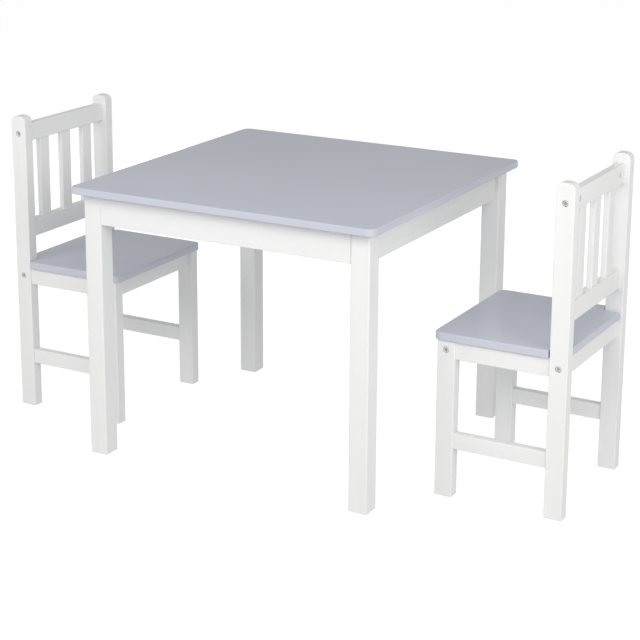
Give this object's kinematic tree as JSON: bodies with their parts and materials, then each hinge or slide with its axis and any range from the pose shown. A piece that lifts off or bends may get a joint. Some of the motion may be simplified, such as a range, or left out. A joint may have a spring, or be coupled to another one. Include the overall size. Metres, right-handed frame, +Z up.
{
  "type": "kids table and chairs",
  "caption": "Square painted-wood children's table with facing slat-back chairs that slide in under its aprons; grey top and seats, white frames.",
  "frame": {"origin": "on the floor, below the middle of the whole set's bounding box", "axes": "+X from the left chair to the right chair, +Y from the front of the table to its back, +Z up"},
  "size_m": [1.125, 0.6, 0.575],
  "materials": {
    "white_paint": "white satin paint on solid wood",
    "grey_paint": "grey satin paint on fibreboard",
    "zinc_steel": "bright zinc plating",
    "beech": "plain fluted beech, glued"
  },
  "bodies": {
    "table": {"table_top": "grey_paint", "table_leg_front_left": "white_paint", "table_leg_front_right": "white_paint", "table_leg_back_left": "white_paint", "table_leg_back_right": "white_paint", "table_apron_front": "white_paint", "table_apron_back": "white_paint", "table_apron_left": "white_paint", "table_apron_right": "white_paint", "corner_bracket_front_left": "zinc_steel", "corner_bracket_front_right": "zinc_steel", "corner_bracket_back_left": "zinc_steel", "corner_bracket_back_right": "zinc_steel", "table_hanger_bolts": "zinc_steel", "table_hanger_nuts": "zinc_steel", "corner_bracket_screws": "zinc_steel", "table_top_screws": "zinc_steel"},
    "chair_left": {"left_chair_seat": "grey_paint", "left_chair_back_post_left": "white_paint", "left_chair_back_post_right": "white_paint", "left_chair_front_leg_left": "white_paint", "left_chair_front_leg_right": "white_paint", "left_chair_front_rail": "white_paint", "left_chair_rear_rail": "white_paint", "left_chair_lower_back_rail": "white_paint", "left_chair_top_back_rail": "white_paint", "left_chair_side_rail_left": "white_paint", "left_chair_side_rail_right": "white_paint", "left_chair_stretcher_left": "white_paint", "left_chair_stretcher_right": "white_paint", "left_chair_slat_1": "white_paint", "left_chair_slat_2": "white_paint", "left_chair_slat_3": "white_paint", "left_chair_bolts": "zinc_steel", "left_chair_barrel_nuts": "zinc_steel", "left_chair_dowels": "beech", "left_chair_seat_screws": "zinc_steel"},
    "chair_right": {"right_chair_seat": "grey_paint", "right_chair_back_post_left": "white_paint", "right_chair_back_post_right": "white_paint", "right_chair_front_leg_left": "white_paint", "right_chair_front_leg_right": "white_paint", "right_chair_front_rail": "white_paint", "right_chair_rear_rail": "white_paint", "right_chair_lower_back_rail": "white_paint", "right_chair_top_back_rail": "white_paint", "right_chair_side_rail_left": "white_paint", "right_chair_side_rail_right": "white_paint", "right_chair_stretcher_left": "white_paint", "right_chair_stretcher_right": "white_paint", "right_chair_slat_1": "white_paint", "right_chair_slat_2": "white_paint", "right_chair_slat_3": "white_paint", "right_chair_bolts": "zinc_steel", "right_chair_barrel_nuts": "zinc_steel", "right_chair_dowels": "beech", "right_chair_seat_screws": "zinc_steel"}
  },
  "joints": [
    {"name": "left_chair_slide", "type": "slide", "parent": "table", "child": "chair_left", "axis": [1, 0, 0], "range_m": [-0.3, 0.214]},
    {"name": "right_chair_slide", "type": "slide", "parent": "table", "child": "chair_right", "axis": [-1, 0, 0], "range_m": [-0.3, 0.237]}
  ]
}
